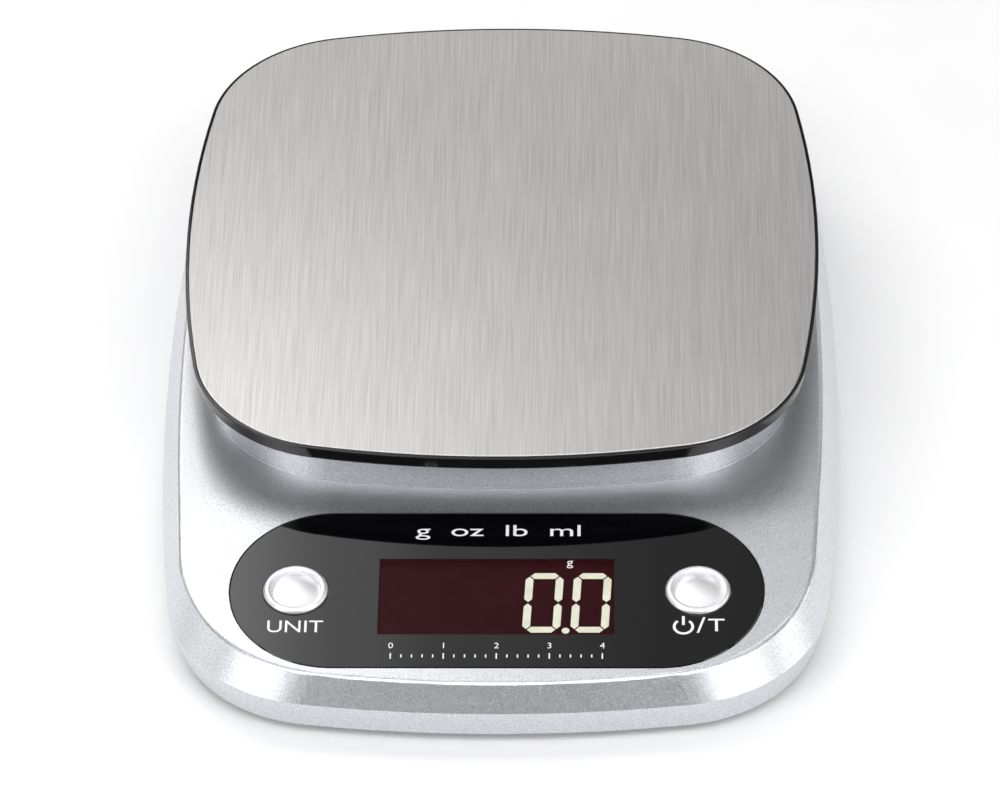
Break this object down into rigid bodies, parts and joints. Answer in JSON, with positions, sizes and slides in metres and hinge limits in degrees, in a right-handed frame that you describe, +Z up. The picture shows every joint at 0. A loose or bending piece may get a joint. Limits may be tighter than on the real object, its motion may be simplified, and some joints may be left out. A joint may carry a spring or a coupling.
{
  "type": "digital kitchen scale",
  "caption": "Flat digital kitchen scale with a brushed steel weighing plate, raised black tray, silver housing and a tilted front panel with window and push buttons.",
  "frame": {"origin": "on the table, under the middle of the housing", "axes": "+X to the user's right, +Y to the back, away from the control panel, +Z up"},
  "size_m": [0.16, 0.222, 0.036],
  "materials": {
    "silver_paint": "silver metallic flake lacquer on ABS, satin gloss",
    "brushed_steel": "brushed stainless steel, fine grain front to back",
    "black_gloss": "gloss black ABS",
    "panel_black": "gloss black back-printed overlay",
    "window_tint": "dark red tinted window",
    "button_plating": "satin chrome plated ABS",
    "display_case": "dark display housing",
    "segment_lit": "lit warm white segment",
    "segment_dark": "unlit segment, smoky",
    "board_green": "green solder mask on glass fibre",
    "chip_black": "black moulded epoxy",
    "component_tan": "ceramic chip components",
    "socket_white": "natural white nylon",
    "tinned_metal": "tinned pins and nickel-plated spring steel",
    "screw_steel": "zinc plated steel",
    "cell_aluminium": "milled aluminium alloy",
    "gauge_potting": "white silicone potting",
    "tape_foam": "white foam mounting tape",
    "lead_red": "PVC insulated hook-up wire",
    "foot_rubber": "soft dark grey rubber",
    "battery_jacket": "plain printed battery jacket",
    "cover_silver": "silver-grey moulded ABS, fine texture"
  },
  "bodies": {
    "base": {"lower_housing": "silver_paint", "upper_housing": "silver_paint", "load_cell": "cell_aluminium", "gauge_coating": "gauge_potting", "base_shim": "screw_steel", "cell_screws": "screw_steel", "control_panel": "panel_black", "display_window": "window_tint", "display_module": "display_case", "lit_segments": "segment_lit", "dark_segments": "segment_dark", "display_pins": "tinned_metal", "circuit_board": "board_green", "board_screws": "screw_steel", "controller_chip": "chip_black", "board_parts": "component_tan", "lead_connectors": "socket_white", "load_cell_leads": "lead_red", "battery_leads": "lead_red", "battery_1": "battery_jacket", "battery_2": "battery_jacket", "bridge_contact": "tinned_metal", "positive_contact": "tinned_metal", "negative_contact": "tinned_metal", "housing_screws": "screw_steel", "unit_switch": "chip_black", "power_switch": "chip_black", "foot_front_left": "foot_rubber", "foot_front_right": "foot_rubber", "foot_rear_left": "foot_rubber", "foot_rear_right": "foot_rubber"},
    "platform": {"steel_plate": "brushed_steel", "platform_tray": "black_gloss", "plate_tape": "tape_foam", "platform_shim": "screw_steel", "platform_screws": "screw_steel"},
    "unit_button": {"unit_button": "button_plating", "unit_plunger": "chip_black"},
    "power_button": {"power_button": "button_plating", "power_plunger": "chip_black"},
    "battery_door": {"battery_cover": "cover_silver"}
  },
  "joints": [
    {"name": "platform_deflection", "type": "slide", "parent": "base", "child": "platform", "axis": [0, 0, 1], "range_m": [-0.0006, 0], "stiffness_N_per_m": 73500, "springref_m": 0.00003, "deforming": ["load_cell"]},
    {"name": "unit_button_press", "type": "slide", "parent": "base", "child": "unit_button", "axis": [0, -0.075, 0.9972], "range_m": [-0.0004, 0], "stiffness_N_per_m": 3200, "springref_m": 0.00002},
    {"name": "power_button_press", "type": "slide", "parent": "base", "child": "power_button", "axis": [0, -0.075, 0.9972], "range_m": [-0.0004, 0], "stiffness_N_per_m": 3200, "springref_m": 0.00002},
    {"name": "battery_door_hinge", "type": "hinge", "parent": "base", "child": "battery_door", "pos_m": [0, 0.0588, 0.0033], "axis": [-1, 0, 0], "range_deg": [0, 60]}
  ]
}
